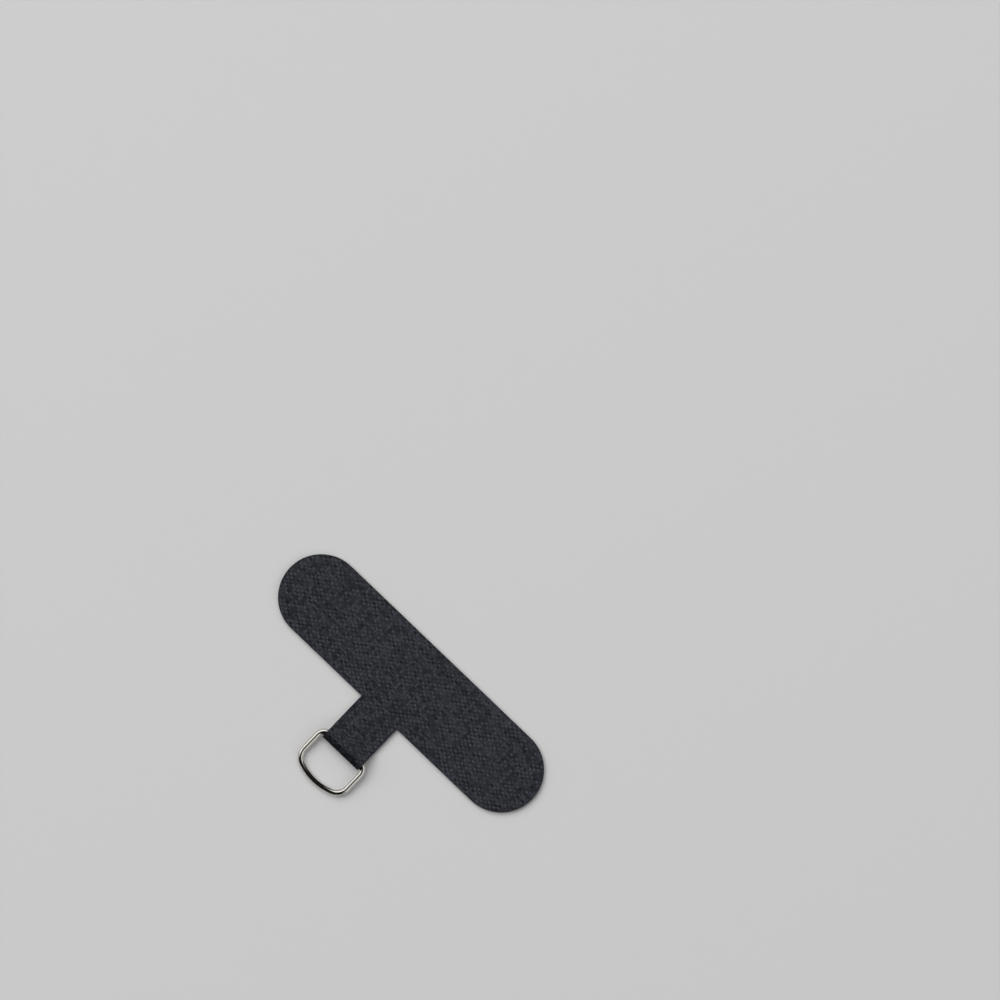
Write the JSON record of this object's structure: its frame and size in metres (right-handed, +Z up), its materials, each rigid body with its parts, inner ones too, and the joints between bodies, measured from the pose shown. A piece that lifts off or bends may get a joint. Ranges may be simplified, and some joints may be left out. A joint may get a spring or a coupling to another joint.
{
  "type": "phone lanyard patch",
  "caption": "T-shaped woven fabric patch that lies between a phone and its case, with a swinging wire D-ring folded into its tab for a lanyard.",
  "frame": {"origin": "on the flat underside, at the middle of the crossbar", "axes": "+X along the crossbar, -Y along the tab toward the ring, +Z up out of the face that the loop bulges from"},
  "size_m": [0.07, 0.0383, 0.003],
  "materials": {
    "woven_fabric": "matt plain weave, charcoal black",
    "polished_wire": "polished nickel plate on steel wire"
  },
  "bodies": {
    "patch": {"fabric_patch": "woven_fabric"},
    "ring": {"d_ring": "polished_wire"}
  },
  "joints": [
    {"name": "d_ring_swing", "type": "hinge", "parent": "patch", "child": "ring", "pos_m": [-0.0006, -0.01934, 0.00151], "axis": [-1, 0, 0], "range_deg": [-159, 182]}
  ]
}
